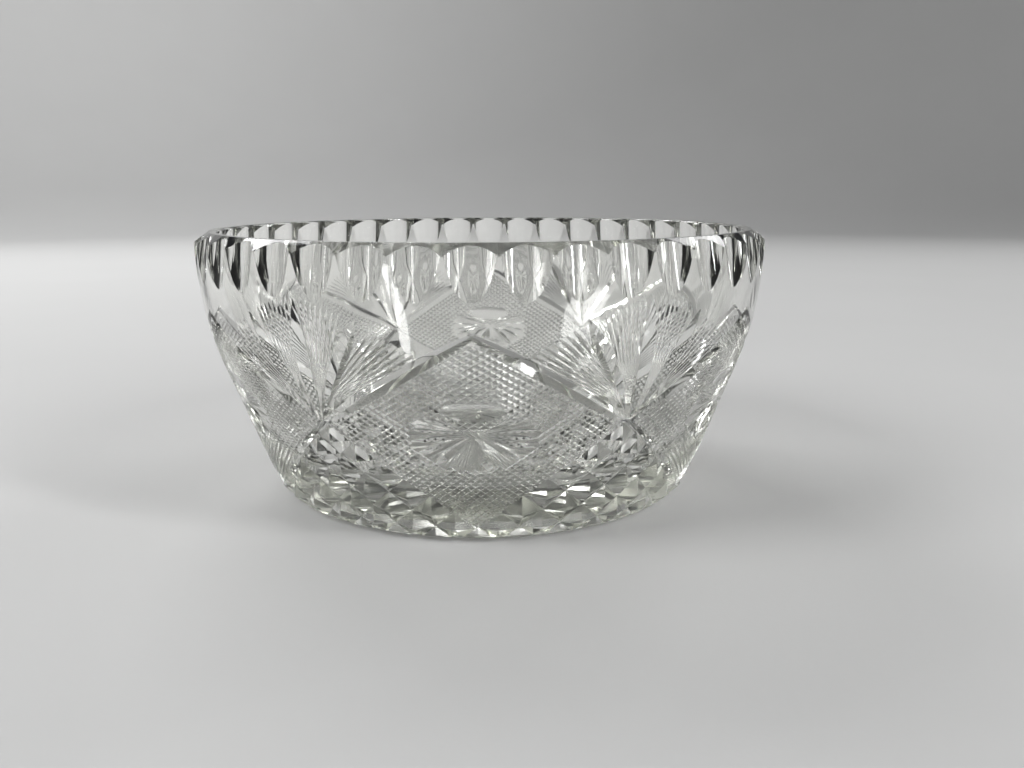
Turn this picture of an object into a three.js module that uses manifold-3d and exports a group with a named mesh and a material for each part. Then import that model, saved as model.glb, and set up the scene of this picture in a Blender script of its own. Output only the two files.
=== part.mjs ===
// A cut-glass candy dish: an open bowl made of one piece of thick clear glass.
// Millimetres, +Z up. The origin is the centre of the foot, and the front diamond faces -Y.
// A place on the bowl is a turn, in degrees round the axis from -Y towards +X, and a height.
import * as THREE from "three";
import { mergeVertices } from "three/addons/utils/BufferGeometryUtils.js";
import Module from "manifold-3d";

const wasm = await Module();
wasm.setup();

// Sizes of the blank: the bowl before it is cut
const RIM_RADIUS = 82.5;
const HEIGHT = 76.5;
const FOOT_RADIUS = 56;
const HEEL_RADIUS = 9; // round between foot and wall
const BEND_DROP = 21.8; // from the rim to where the straight wall, drawn on, would be at full width
const UPRIGHT_BAND = 4.8; // upright part of the wall under the rim, bevel and all
const RIM_WALL = 6; // thickness of the wall at the rim
const HEEL_WALL = 8.5; // and at the top of the heel
const FLOOR_THICKNESS = 10;
const INNER_HEEL_RADIUS = 18;
const BEVEL_WIDTH = 3.75;
const BEVEL_HEIGHT = 2.7;
const LIP_ROUND = 0.6; // inner edge of the rim
const REST_RING_WIDTH = 8; // ground ring that the bowl stands on
const FOOT_RECESS = 1.6;
const RECESS_SLOPE = 2; // width of the recess's sloping side

// Sizes of the pattern, which repeats once for each large diamond
const SECTORS = 6;
const DIAMOND_TOP_DROP = 20.3; // from the rim to the top corner
const DIAMOND_WAIST = 31.8; // height of the side corners
const DIAMOND_FOOT = 3.5; // height of the bottom corner
const BORDER_DEPTH = 1.5; // the lens-shaped mitre along each upper side
const BORDER_TIP_DEPTH = 0.45;
const BORDER_ANGLE = 55; // half the angle of the V
const BORDER_OVERRUN = 1; // how far the mitres run on past the diamond's corners
const LOWER_BORDER_INNER_ANGLE = 28; // the mitre along each lower side, towards the diamond
const LOWER_BORDER_OUTER_ANGLE = 48; // and towards the lattice
const LOWER_BORDER_EXTRA = 0.2; // how much deeper it is than the lattice's grooves

// Flutes round the rim
const FLUTES_PER_SECTOR = 7;
const FLUTE_DEPTH = 2.5; // at the foot of the bevel
const FLUTE_LENGTH = 10.2; // from the foot of the bevel down to the flute's tip

// Lattice of pointed pyramids between the lower sides of the diamonds
const LATTICE_ROWS = 3; // pyramids from the waist down to the bottom corners' level
const LATTICE_ANGLE = 60; // half the angle of the grooves
const PYRAMID_POINT_SINK = 0.12; // how far the points lie under the blank's surface

// Fan of three leaves that stands on each side corner
const LEAF_ANGLE = 56;
const LEAF_WIDEST = 0.6; // share of the leaf's length
const LEAF_TIP_DEPTH = 0.1;
const CENTRE_LEAF_DROP = 13; // from the rim to the leaf's tip
const CENTRE_LEAF_START = 2; // height of its lower end over the side corner
const CENTRE_LEAF_WIDTH = 5.2;
const SIDE_LEAF_DROP = 17;
const SIDE_LEAF_START = 4.5;
const SIDE_LEAF_WIDTH = 4.2;
const SIDE_LEAF_TURN = 11.5;

// Star medallion in the middle of each diamond
const STAR_HEIGHT = 32.2;
const STAR_HALF_WIDTH = 15.5;
const STAR_HALF_HEIGHT = 11.3;
const RAYS = [
  { direction: 188, width: 1.5 }, // degrees, from across the wall to the right, turning up
  { direction: 203, width: 1.8 },
  { direction: 223, width: 2.8 },
  { direction: 288, width: 4 },
  { direction: 325, width: 2 },
  { direction: 344, width: 1.8 },
];
const RAY_ANGLE = 55;
const RAY_TIP_DEPTH = 0.1;
const RAY_HUB = 1.6; // the rays start this far from the star's centre
const OLIVE_RISE = 6; // from the star's centre to the olive cut over it
const OLIVE_HALF_WIDTH = 10.5;
const OLIVE_HALF_HEIGHT = 2.9;
const OLIVE_DEPTH = 1.1;

// Star under the foot
const FOOT_STAR_RAYS = 24;
const FOOT_STAR_RADIUS = 40;
const FOOT_STAR_HUB = 4;
const FOOT_RAY_WIDTH = 3.6;
const FOOT_RAY_ANGLE = 62;

// How finely the round shapes are divided
const LATHE_SEGMENTS = SECTORS * 10;
const FLUTE_SEGMENTS = 24;
const CUTTER_LIFT = 1.5; // how far a cutter stands out of the surface that it cuts

const { degToRad, radToDeg, lerp } = THREE.MathUtils;
const tan = (degrees) => Math.tan(degToRad(degrees));
const HALF_SECTOR = 180 / SECTORS;
const DIAMOND_TOP = HEIGHT - DIAMOND_TOP_DROP;
const BEVEL_FOOT = HEIGHT - BEVEL_HEIGHT;
const UPRIGHT_FROM = HEIGHT - UPRIGHT_BAND;

// Wall outlines

// A wall leaves its floor round a heel, runs straight towards a bend under the rim and rounds the bend
// so that it is upright at the upright band. Tilt is the angle of the straight run's outward direction.
function wallShape(bend, tilt, floorHeight, heel) {
  const shoulder = (UPRIGHT_FROM - bend.y) / Math.tan(-tilt / 2);
  const heelHeight = floorHeight + heel;
  const heelRadius = bend.x - (heel + Math.sin(tilt) * (heelHeight - bend.y)) / Math.cos(tilt);
  return {
    tilt,
    heel,
    heelCentre: new THREE.Vector2(heelRadius, heelHeight),
    shoulder,
    shoulderCentre: new THREE.Vector2(bend.x - shoulder, UPRIGHT_FROM),
  };
}

// Tilt of the line through a bend that passes a point at a distance on the point's outer side
function tiltPast(bend, point, distance) {
  const reach = bend.clone().sub(point);
  return reach.angle() - Math.acos(distance / reach.length());
}

const outerBend = new THREE.Vector2(RIM_RADIUS, HEIGHT - BEND_DROP);
const outerTilt = tiltPast(outerBend, new THREE.Vector2(FOOT_RADIUS, HEEL_RADIUS), HEEL_RADIUS);
const outer = wallShape(outerBend, outerTilt, 0, HEEL_RADIUS);
const outerHeelTop = new THREE.Vector2(HEEL_RADIUS, 0)
  .rotateAround(new THREE.Vector2(), outerTilt)
  .add(outer.heelCentre);

const innerBend = outerBend.clone();
innerBend.x -= RIM_WALL;
innerBend.y += RIM_WALL * Math.tan(-outerTilt / 2);
const innerTilt = tiltPast(innerBend, outerHeelTop, -HEEL_WALL);
const inner = wallShape(innerBend, innerTilt, FLOOR_THICKNESS, INNER_HEEL_RADIUS);

function wallPoints({ tilt, heel, heelCentre, shoulder, shoulderCentre }, heelSteps, shoulderSteps) {
  const round = (centre, radius, from, to, steps) =>
    new THREE.EllipseCurve(centre.x, centre.y, radius, radius, from, to).getPoints(steps);
  return [
    ...round(heelCentre, heel, -Math.PI / 2, tilt, heelSteps),
    ...round(shoulderCentre, shoulder, tilt, 0, shoulderSteps),
  ];
}

// Radius and tilt of the outer wall at a height. Below the straight run its line goes on down, past
// the heel, because the wheel that cuts the pattern runs straight off there.
function wallAt(height) {
  const { tilt, shoulder, shoulderCentre } = outer;
  if (height >= shoulderCentre.y) return { radius: RIM_RADIUS, tilt: 0 };
  if (height >= shoulderCentre.y + shoulder * Math.sin(tilt)) {
    const angle = Math.asin((height - shoulderCentre.y) / shoulder);
    return { radius: shoulderCentre.x + shoulder * Math.cos(angle), tilt: angle };
  }
  return { radius: outerHeelTop.x - (height - outerHeelTop.y) * Math.tan(tilt), tilt };
}

// The point of the wall at a place, and the direction straight out of the wall there
function onWall(turn, height) {
  const { radius, tilt } = wallAt(height);
  const around = new THREE.Vector3(Math.sin(degToRad(turn)), -Math.cos(degToRad(turn)), 0);
  const point = around.clone().multiplyScalar(radius);
  point.z = height;
  const out = around.multiplyScalar(Math.cos(tilt));
  out.z = Math.sin(tilt);
  return { point, out };
}

// Solids

function solid(geometry) {
  const bare = geometry.clone();
  bare.deleteAttribute("normal");
  bare.deleteAttribute("uv");
  const merged = mergeVertices(bare, 1e-5);
  return new wasm.Manifold(
    new wasm.Mesh({
      numProp: 3,
      vertProperties: merged.attributes.position.array,
      triVerts: new Uint32Array(merged.index.array),
    }),
  );
}

function meshOf(points, triangles = points.map((_, i) => i)) {
  const geometry = new THREE.BufferGeometry().setFromPoints(points);
  geometry.setIndex(triangles);
  return solid(geometry);
}

function blank() {
  const recessRadius = FOOT_RADIUS - REST_RING_WIDTH;
  const lip = new THREE.EllipseCurve(
    RIM_RADIUS - RIM_WALL + LIP_ROUND,
    HEIGHT - LIP_ROUND,
    LIP_ROUND,
    LIP_ROUND,
    Math.PI / 2,
    Math.PI,
  );
  const profile = [
    new THREE.Vector2(0, FOOT_RECESS),
    new THREE.Vector2(recessRadius - RECESS_SLOPE, FOOT_RECESS),
    new THREE.Vector2(recessRadius, 0),
    ...wallPoints(outer, 3, 4),
    new THREE.Vector2(RIM_RADIUS, BEVEL_FOOT),
    new THREE.Vector2(RIM_RADIUS - BEVEL_WIDTH, HEIGHT),
    ...lip.getPoints(2),
    ...wallPoints(inner, 3, 3).reverse(),
    new THREE.Vector2(0, FLOOR_THICKNESS),
  ];
  return solid(new THREE.LatheGeometry(profile, LATHE_SEGMENTS).rotateX(Math.PI / 2));
}

// A V-shaped bar for one wheel cut. Each stop has a point of the wall, the direction out of the wall
// and the depth there. The angles are those of the V's left and right side from its middle plane.
function mitre(stops, leftAngle, rightAngle = leftAngle) {
  const last = stops.length - 1;
  const points = stops.flatMap(({ point, out, depth }, i) => {
    const along = stops[Math.min(i + 1, last)].point.clone().sub(stops[Math.max(i - 1, 0)].point);
    const left = new THREE.Vector3().crossVectors(out, along).normalize();
    const top = point.clone().addScaledVector(out, CUTTER_LIFT);
    const rise = depth + CUTTER_LIFT;
    return [
      point.clone().addScaledVector(out, -depth),
      top.clone().addScaledVector(left, rise * tan(leftAngle)),
      top.clone().addScaledVector(left, -rise * tan(rightAngle)),
    ];
  });
  const triangles = [0, 2, 1, 3 * last, 3 * last + 1, 3 * last + 2];
  for (let i = 0; i < last; i++)
    for (let k = 0; k < 3; k++) {
      const a = 3 * i + k;
      const b = 3 * i + ((k + 1) % 3);
      triangles.push(a, b, a + 3, b, b + 3, a + 3);
    }
  return meshOf(points, triangles);
}

// Stops of a straight cut on the wall between two places
function cutAlong(from, to, steps, depth) {
  return Array.from({ length: steps + 1 }, (_, i) => {
    const t = i / steps;
    return { ...onWall(lerp(from[0], to[0], t), lerp(from[1], to[1], t)), depth: depth(t) };
  });
}

// Depth of a cut that is deepest at a share of its length and runs out at both ends
const lens = (deepest, widestAt, tip) => (t) => {
  const away = t < widestAt ? (widestAt - t) / widestAt : (t - widestAt) / (1 - widestAt);
  return tip + (deepest - tip) * (1 - away * away);
};

// A cutter that takes away all that lies outside a sheet of triangles. Like a stop, each corner of the
// sheet has a point of the wall, the direction out of the wall and the depth. The sheet's open edges
// are drawn out of the wall and closed over its middle.
function sheetCutter(sheet, middle) {
  const low = ({ point, out, depth }) => point.clone().addScaledVector(out, -depth);
  const high = ({ point, out }) => point.clone().addScaledVector(out, CUTTER_LIFT);
  const peak = middle.point.clone().addScaledVector(middle.out, 10 * CUTTER_LIFT);
  const name = (corner) => low(corner).toArray().map((value) => value.toFixed(4)).join();
  const open = new Map();
  for (const [a, b, c] of sheet)
    for (const [from, to] of [[a, b], [b, c], [c, a]])
      if (!open.delete(`${name(to)} ${name(from)}`)) open.set(`${name(from)} ${name(to)}`, [from, to]);
  const points = sheet.flatMap((corners) => corners.map(low));
  for (const [from, to] of open.values()) {
    points.push(low(to), low(from), high(from));
    points.push(low(to), high(from), high(to));
    points.push(high(to), high(from), peak);
  }
  return meshOf(points);
}

const mirrored = (cut) => cut.mirror([1, 0, 0]);
const turned = (cut, degrees) => cut.rotate([0, 0, degrees]);
const joined = (cuts) => wasm.Manifold.union(cuts);

// Cuts of one sector

// Flutes are scooped by a round-edged wheel that leans out, so each runs out in a rounded point.
// Neighbours touch at the foot of the bevel, which sets the wheel's radius.
function flutes() {
  const halfWidth = (Math.PI * RIM_RADIUS) / (SECTORS * FLUTES_PER_SECTOR);
  const radius = (halfWidth ** 2 + FLUTE_DEPTH ** 2) / (2 * FLUTE_DEPTH);
  const tipRadius = wallAt(BEVEL_FOOT - FLUTE_LENGTH).radius;
  const lean = Math.atan2(tipRadius - RIM_RADIUS + FLUTE_DEPTH, FLUTE_LENGTH);
  const wheel = new THREE.CylinderGeometry(radius, radius, 4 * FLUTE_LENGTH, FLUTE_SEGMENTS);
  wheel.rotateX(Math.PI / 2);
  wheel.translate(0, -radius, 0);
  wheel.rotateX(-lean);
  wheel.translate(0, FLUTE_DEPTH - RIM_RADIUS, BEVEL_FOOT);
  const flute = solid(wheel);
  const step = (2 * HALF_SECTOR) / FLUTES_PER_SECTOR;
  return Array.from({ length: FLUTES_PER_SECTOR }, (_, i) => turned(flute, i * step));
}

function upperBorders() {
  const length = onWall(0, DIAMOND_TOP).point.distanceTo(onWall(HALF_SECTOR, DIAMOND_WAIST).point);
  const place = (share) => [HALF_SECTOR * share, lerp(DIAMOND_TOP, DIAMOND_WAIST, share)];
  const overrun = BORDER_OVERRUN / length;
  const depth = lens(BORDER_DEPTH, 0.5, BORDER_TIP_DEPTH);
  const stops = cutAlong(place(-overrun), place(1 + overrun), 4, depth);
  const border = mitre(stops, BORDER_ANGLE);
  return [border, mirrored(border)];
}

// Below the waist, straight grooves run parallel to the diamonds' lower sides. They cross each other
// and leave pointed pyramids, so their depth follows from their spacing. A place in this lattice is
// counted in rows from the side of the one diamond and from the side of the other.
const LATTICE_RISE = DIAMOND_WAIST - DIAMOND_FOOT;
const latticeHalfWidth = degToRad(HALF_SECTOR) * wallAt(DIAMOND_FOOT + LATTICE_RISE / 2).radius;
const latticeSpacing =
  (latticeHalfWidth * LATTICE_RISE) / Math.hypot(latticeHalfWidth, LATTICE_RISE) / LATTICE_ROWS;
const latticeDepth = latticeSpacing / 2 / tan(LATTICE_ANGLE) + PYRAMID_POINT_SINK;

function inLattice(a, b) {
  const turn = HALF_SECTOR * (1 + (a - b) / (2 * LATTICE_ROWS));
  return onWall(turn, DIAMOND_FOOT + LATTICE_RISE * (1 - (a + b) / (2 * LATTICE_ROWS)));
}

// The lattice's cutter is the sheet of hollow pyramids, closed on its outer side
function lattice() {
  const sheet = [];
  const groove = (a, b) => ({ ...inLattice(a, b), depth: latticeDepth });
  for (let a = 0; a < 2 * LATTICE_ROWS; a++)
    for (let b = 0; a + b <= 2 * LATTICE_ROWS; b++) {
      const corners = [groove(a, b), groove(a + 1, b), groove(a + 1, b + 1), groove(a, b + 1)];
      const tip = { ...inLattice(a + 0.5, b + 0.5), depth: PYRAMID_POINT_SINK };
      corners.forEach((corner, i) => sheet.push([corner, corners[(i + 1) % 4], tip]));
    }
  return sheetCutter(sheet, inLattice(LATTICE_ROWS, LATTICE_ROWS));
}

function lowerBorders() {
  const rows = 2 * LATTICE_ROWS;
  const overrun = BORDER_OVERRUN / latticeSpacing;
  const stops = [-overrun, rows / 3, (2 * rows) / 3, rows, rows + 1].map((b) => ({
    ...inLattice(0, b),
    depth: latticeDepth + LOWER_BORDER_EXTRA,
  }));
  const border = mitre(stops, LOWER_BORDER_OUTER_ANGLE, LOWER_BORDER_INNER_ANGLE);
  return [border, mirrored(border)];
}

function fan() {
  const leaf = (turn, drop, width, start) => {
    const corner = [HALF_SECTOR, DIAMOND_WAIST];
    const tip = [HALF_SECTOR + turn, HEIGHT - drop];
    const share = start / (tip[1] - corner[1]);
    const foot = [lerp(corner[0], tip[0], share), lerp(corner[1], tip[1], share)];
    const depth = lens(width / 2 / tan(LEAF_ANGLE), LEAF_WIDEST, LEAF_TIP_DEPTH);
    return mitre(cutAlong(foot, tip, 3, depth), LEAF_ANGLE);
  };
  return [
    leaf(0, CENTRE_LEAF_DROP, CENTRE_LEAF_WIDTH, CENTRE_LEAF_START),
    leaf(SIDE_LEAF_TURN, SIDE_LEAF_DROP, SIDE_LEAF_WIDTH, SIDE_LEAF_START),
    leaf(-SIDE_LEAF_TURN, SIDE_LEAF_DROP, SIDE_LEAF_WIDTH, SIDE_LEAF_START),
  ];
}

// A place in the medallion, in millimetres across and up the wall from the star's centre
function inMedallion(across, up) {
  const height = STAR_HEIGHT + up * Math.cos(outer.tilt);
  return [radToDeg(across / wallAt(height).radius), height];
}

function medallion() {
  const rays = RAYS.map(({ direction, width }) => {
    const across = Math.cos(degToRad(direction));
    const up = Math.sin(degToRad(direction));
    const reach = 1 / Math.hypot(across / STAR_HALF_WIDTH, up / STAR_HALF_HEIGHT);
    const from = inMedallion(RAY_HUB * across, RAY_HUB * up);
    const to = inMedallion(reach * across, reach * up);
    const depth = lens(width / 2 / tan(RAY_ANGLE), 2 / 3, RAY_TIP_DEPTH);
    return mitre(cutAlong(from, to, 3, depth), RAY_ANGLE);
  });
  return [...rays, olive()];
}

// The olive is the hollow of a flat ellipsoid that dips into the wall
function olive() {
  const { point, out } = onWall(...inMedallion(0, OLIVE_RISE));
  const dip = 0.5; // share of the ellipsoid's thickness that is under the surface
  const spread = 1 / Math.sqrt(1 - (1 - dip) ** 2);
  const ball = new THREE.SphereGeometry(1, 12, 12);
  ball.rotateZ(Math.PI / 2);
  ball.scale(OLIVE_HALF_WIDTH * spread, OLIVE_DEPTH / dip, OLIVE_HALF_HEIGHT * spread);
  ball.rotateX(Math.asin(-out.z));
  const centre = point.clone().addScaledVector(out, OLIVE_DEPTH / dip - OLIVE_DEPTH);
  ball.translate(centre.x, centre.y, centre.z);
  return solid(ball);
}

function footStar() {
  const depth = lens(FOOT_RAY_WIDTH / 2 / tan(FOOT_RAY_ANGLE), 2 / 3, 0);
  const stops = Array.from({ length: 4 }, (_, i) => ({
    point: new THREE.Vector3(0, -lerp(FOOT_STAR_HUB, FOOT_STAR_RADIUS, i / 3), FOOT_RECESS),
    out: new THREE.Vector3(0, 0, -1),
    depth: depth(i / 3),
  }));
  const ray = mitre(stops, FOOT_RAY_ANGLE);
  return Array.from({ length: FOOT_STAR_RAYS }, (_, i) => turned(ray, (360 / FOOT_STAR_RAYS) * i));
}

// The bowl
const sector = joined([
  ...flutes(),
  ...upperBorders(),
  ...lowerBorders(),
  lattice(),
  ...fan(),
  ...medallion(),
]);
const sectors = Array.from({ length: SECTORS }, (_, i) => turned(sector, 2 * HALF_SECTOR * i));
const cutGlass = blank().subtract(joined([...sectors, ...footStar()]));

const made = cutGlass.getMesh();
const geometry = new THREE.BufferGeometry();
geometry.setAttribute("position", new THREE.BufferAttribute(made.vertProperties, 3));
geometry.setIndex(new THREE.BufferAttribute(made.triVerts, 1));

const clearGlass = new THREE.MeshStandardMaterial({
  color: 0xdfe5df,
  roughness: 0.04,
  metalness: 0,
  transparent: true,
  opacity: 0.35,
  flatShading: true,
});

const bowl = new THREE.Mesh(geometry, clearGlass);
bowl.name = "bowl";

const candyDish = new THREE.Group();
candyDish.add(bowl);

export default candyDish;
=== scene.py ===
"""Cut-glass candy dish: one thick bowl of clear glass, with all its cuts, on a pale studio floor.

Metres, +Z up, the foot's centre at the origin and the front diamond facing -Y. A place on the bowl
is a turn, in degrees round the axis from -Y towards +X, and a height.
"""

import math

import bpy
from mathutils import Matrix, Vector


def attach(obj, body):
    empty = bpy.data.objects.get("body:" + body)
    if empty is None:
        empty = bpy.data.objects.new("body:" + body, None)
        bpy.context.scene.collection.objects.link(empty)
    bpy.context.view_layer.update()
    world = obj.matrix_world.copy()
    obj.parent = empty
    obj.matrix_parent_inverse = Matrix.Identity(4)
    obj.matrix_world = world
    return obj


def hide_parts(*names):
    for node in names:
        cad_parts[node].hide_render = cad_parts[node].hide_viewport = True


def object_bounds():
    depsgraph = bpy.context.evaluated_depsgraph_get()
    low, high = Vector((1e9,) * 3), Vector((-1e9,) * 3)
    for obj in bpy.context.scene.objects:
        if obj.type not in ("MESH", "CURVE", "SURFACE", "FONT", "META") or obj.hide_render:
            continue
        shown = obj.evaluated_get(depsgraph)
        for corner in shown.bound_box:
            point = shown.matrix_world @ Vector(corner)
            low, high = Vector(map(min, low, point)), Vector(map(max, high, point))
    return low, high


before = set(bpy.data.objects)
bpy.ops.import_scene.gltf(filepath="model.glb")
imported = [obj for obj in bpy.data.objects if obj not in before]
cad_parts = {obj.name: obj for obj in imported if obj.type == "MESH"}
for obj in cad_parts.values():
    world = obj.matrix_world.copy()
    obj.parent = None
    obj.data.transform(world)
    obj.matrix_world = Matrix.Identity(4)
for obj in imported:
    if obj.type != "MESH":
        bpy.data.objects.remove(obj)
CAD_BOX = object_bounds()

bl_info = {
    "name": "Cut-Glass Candy Dish",
    "version": (1, 0, 0),
    "blender": (4, 5, 0),
    "location": "3D View > Sidebar > Candy Dish",
    "description": "Builds a candy dish of clear cut glass, one wheel cut after another",
    "category": "Add Mesh",
}

MM = 0.001
SECTORS = 6
HALF_SECTOR = 180 / SECTORS
FLUTES = 42
BOWL = "cut_glass_bowl"


# Sizes


def length(name, default, description):
    """A length in millimetres, kept in metres."""
    return bpy.props.FloatProperty(
        name=name, default=default * MM, description=description, unit="LENGTH", precision=5
    )


def angle(name, default, description):
    """An angle in degrees, kept in radians."""
    return bpy.props.FloatProperty(
        name=name, default=math.radians(default), description=description, unit="ROTATION"
    )


class BlankSizes(bpy.types.PropertyGroup):
    """Sizes of the bowl before it is cut."""

    rim_radius: length("Rim radius", CAD_BOX[1].x / MM, "Outer radius of the rim")
    height: length("Height", CAD_BOX[1].z / MM, "Height of the rim over the table")
    foot_radius: length("Foot radius", 56, "Radius of the ring that the bowl stands on")
    heel: length("Heel radius", 9, "Round between foot and wall")
    bend_drop: length("Bend drop", 21.8, "From the rim to the bend between wall and shoulder")
    upright: length("Upright band", 4.8, "Upright part of the wall under the rim")
    rim_wall: length("Wall at the rim", 6, "Thickness of the glass at the rim")
    heel_wall: length("Wall at the heel", 8.5, "Thickness of the glass at the heel")
    floor: length("Floor", 10, "Thickness of the glass under the sweets")
    inner_heel: length("Inner heel radius", 18, "Round between the floor and the inside wall")
    bevel_width: length("Bevel width", 3.75, "Width of the bevel on the rim")
    bevel_height: length("Bevel height", 2.7, "Height of the bevel on the rim")
    lip: length("Lip round", 0.6, "Round of the rim's inner edge")
    rest_ring: length("Rest ring", 8, "Width of the ring that the bowl stands on")
    recess: length("Foot recess", 1.6, "Depth of the hollow inside the rest ring")
    recess_slope: length("Recess slope", 2, "Width of the sloping side of the hollow")


class PatternSizes(bpy.types.PropertyGroup):
    """Sizes of the pattern, which repeats once for each large diamond."""

    top_drop: length("Diamond top", 20.3, "From the rim down to a diamond's top corner")
    waist: length("Diamond waist", 31.8, "Height of a diamond's side corners")
    foot: length("Diamond foot", 3.5, "Height of a diamond's bottom corner")
    overrun: length("Overrun", 1, "How far the border mitres run past the corners")
    border_depth: length("Upper border depth", 1.5, "Depth of the lens-shaped upper borders")
    border_angle: angle("Upper border angle", 55, "Half the angle of the upper borders")
    lower_inner: angle("Lower border, inner angle", 28, "Angle on the diamond's side")
    lower_outer: angle("Lower border, outer angle", 48, "Angle on the lattice's side")
    flute_depth: length("Flute depth", 2.5, "Depth of a flute at the foot of the bevel")
    flute_length: length("Flute length", 10.2, "From the foot of the bevel to a flute's tip")
    lattice_angle: angle("Lattice angle", 60, "Half the angle of the lattice's grooves")
    hatch_rows: bpy.props.IntProperty(
        name="Hatching rows", default=30, description="Fine grooves across each diamond"
    )
    hatch_depth: length("Hatching depth", 0.42, "Depth of the fine grooves")
    hatch_width: bpy.props.FloatProperty(
        name="Hatching width", default=0.62, subtype="FACTOR",
        description="Share of each row that its groove takes, the rest stays as a flat top",
    )
    fine_depth: length("Fine line depth", 0.42, "Depth of the fine lines in fans and stars")
    leaf_angle: angle("Leaf angle", 56, "Half the angle of the fans' leaves")
    star_height: length("Star height", 32.2, "Height of a star's centre")
    star_half_width: length("Star half width", 15.5, "Half the width of a medallion")
    star_half_height: length("Star half height", 11.3, "Half the height of a medallion")
    ray_angle: angle("Ray angle", 50, "Half the angle of the star's rays")
    olive_depth: length("Olive depth", 1.1, "Depth of the olive cut over the star")
    foot_star: length("Foot star radius", 40, "Radius of the star under the foot")


class GlassFinish(bpy.types.PropertyGroup):
    """Look of the glass."""

    tint: bpy.props.FloatVectorProperty(
        name="Tint", subtype="COLOR", size=3, default=(0.8, 0.83, 0.68), min=0, max=1,
        description="Colour that light keeps on a long way through the glass",
    )
    tint_density: bpy.props.FloatProperty(
        name="Tint density", default=8, description="How fast the glass takes its tint, per metre"
    )
    index: bpy.props.FloatProperty(
        name="Refractive index", default=1.54, description="How strongly the glass bends light"
    )
    polish: bpy.props.FloatProperty(
        name="Polish", default=0.032, subtype="FACTOR", description="Roughness of the polished cuts"
    )
    silk: bpy.props.FloatProperty(
        name="Silk", default=0.11, subtype="FACTOR",
        description="Roughness that the fine wheel leaves on the hatching and fine lines",
    )
    ground: bpy.props.FloatProperty(
        name="Ground foot", default=0.15, subtype="FACTOR",
        description="Roughness of the foot's underside, which is ground and only half polished",
    )
    edge_round: length("Edge round", 0.15, "Round that the polish leaves on the edges of the cuts")
    wear: bpy.props.FloatProperty(
        name="Wear", default=0.5, subtype="FACTOR", description="Scratches on the floor and foot"
    )


class StudioLook(bpy.types.PropertyGroup):
    """Floor, lamps and backdrop."""

    floor_colour: bpy.props.FloatVectorProperty(
        name="Floor", subtype="COLOR", size=3, default=(0.6, 0.6, 0.595), min=0, max=1,
        description="Colour of floor and backdrop",
    )
    lamps: bpy.props.FloatProperty(
        name="Lamps", default=1, description="Strength of all the lamps together"
    )


def blank_sizes():
    return bpy.context.scene.dish_blank


def pattern_sizes():
    return bpy.context.scene.dish_pattern


# Outline of the wall


def arc(centre, radius, start, end, steps):
    """Points of a round, as (radius, height) pairs."""
    angles = [start + (end - start) * i / steps for i in range(steps + 1)]
    return [(centre[0] + radius * math.cos(a), centre[1] + radius * math.sin(a)) for a in angles]


def tilt_past(bend, point, distance):
    """Tilt of the line through a bend that passes a point at a distance."""
    across, up = bend[0] - point[0], bend[1] - point[1]
    return math.atan2(up, across) - math.acos(distance / math.hypot(across, up))


class Wall:
    """A wall that leaves a heel, runs straight to a bend and is upright under the rim."""

    def __init__(self, bend, tilt, floor, heel):
        size = blank_sizes()
        top = size.height - size.upright
        self.tilt = tilt
        self.heel = heel
        self.shoulder = (top - bend[1]) / math.tan(-tilt / 2)
        heel_height = floor + heel
        rise = heel + math.sin(tilt) * (heel_height - bend[1])
        self.heel_centre = (bend[0] - rise / math.cos(tilt), heel_height)
        self.shoulder_centre = (bend[0] - self.shoulder, top)
        self.heel_top = arc(self.heel_centre, heel, tilt, tilt, 1)[0]

    def points(self, heel_steps, run_steps, shoulder_steps):
        """Outline from the bottom of the heel up to the upright band."""
        heel = arc(self.heel_centre, self.heel, -math.pi / 2, self.tilt, heel_steps)
        shoulder = arc(self.shoulder_centre, self.shoulder, self.tilt, 0, shoulder_steps)
        start, end = heel[-1], shoulder[0]
        run = [
            (
                start[0] + (end[0] - start[0]) * i / run_steps,
                start[1] + (end[1] - start[1]) * i / run_steps,
            )
            for i in range(1, run_steps)
        ]
        return heel + run + shoulder

    def at(self, height):
        """Radius and tilt at a height. Below the straight run its line goes on down."""
        across, top = self.shoulder_centre
        if height >= top:
            return across + self.shoulder, 0
        if height >= top + self.shoulder * math.sin(self.tilt):
            tilt = math.asin((height - top) / self.shoulder)
            return across + self.shoulder * math.cos(tilt), tilt
        return self.heel_top[0] - (height - self.heel_top[1]) * math.tan(self.tilt), self.tilt


def outer_bend():
    size = blank_sizes()
    return size.rim_radius, size.height - size.bend_drop


def outer_wall():
    size = blank_sizes()
    tilt = tilt_past(outer_bend(), (size.foot_radius, size.heel), size.heel)
    return Wall(outer_bend(), tilt, 0, size.heel)


def inner_wall():
    size = blank_sizes()
    outer = outer_wall()
    bend = outer_bend()
    bend = (bend[0] - size.rim_wall, bend[1] + size.rim_wall * math.tan(-outer.tilt / 2))
    return Wall(bend, tilt_past(bend, outer.heel_top, -size.heel_wall), size.floor, size.inner_heel)


def on_wall(wall, turn, height):
    """The point of the wall at a place, and the direction straight out of it."""
    radius, tilt = wall.at(height)
    around = Vector((math.sin(math.radians(turn)), -math.cos(math.radians(turn)), 0))
    out = around * math.cos(tilt)
    out.z = math.sin(tilt)
    point = around * radius
    point.z = height
    return point, out


# Hand tools


def deselect_all():
    if bpy.context.mode != "OBJECT":
        bpy.ops.object.mode_set(mode="OBJECT")
    bpy.ops.object.select_all(action="DESELECT")


def make_active(piece):
    deselect_all()
    piece.select_set(True)
    bpy.context.view_layer.objects.active = piece


def edit(piece, select="SELECT"):
    make_active(piece)
    bpy.ops.object.mode_set(mode="EDIT")
    bpy.ops.mesh.select_mode(type="VERT")
    bpy.ops.mesh.select_all(action=select)


def leave_edit():
    bpy.ops.object.mode_set(mode="OBJECT")


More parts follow.
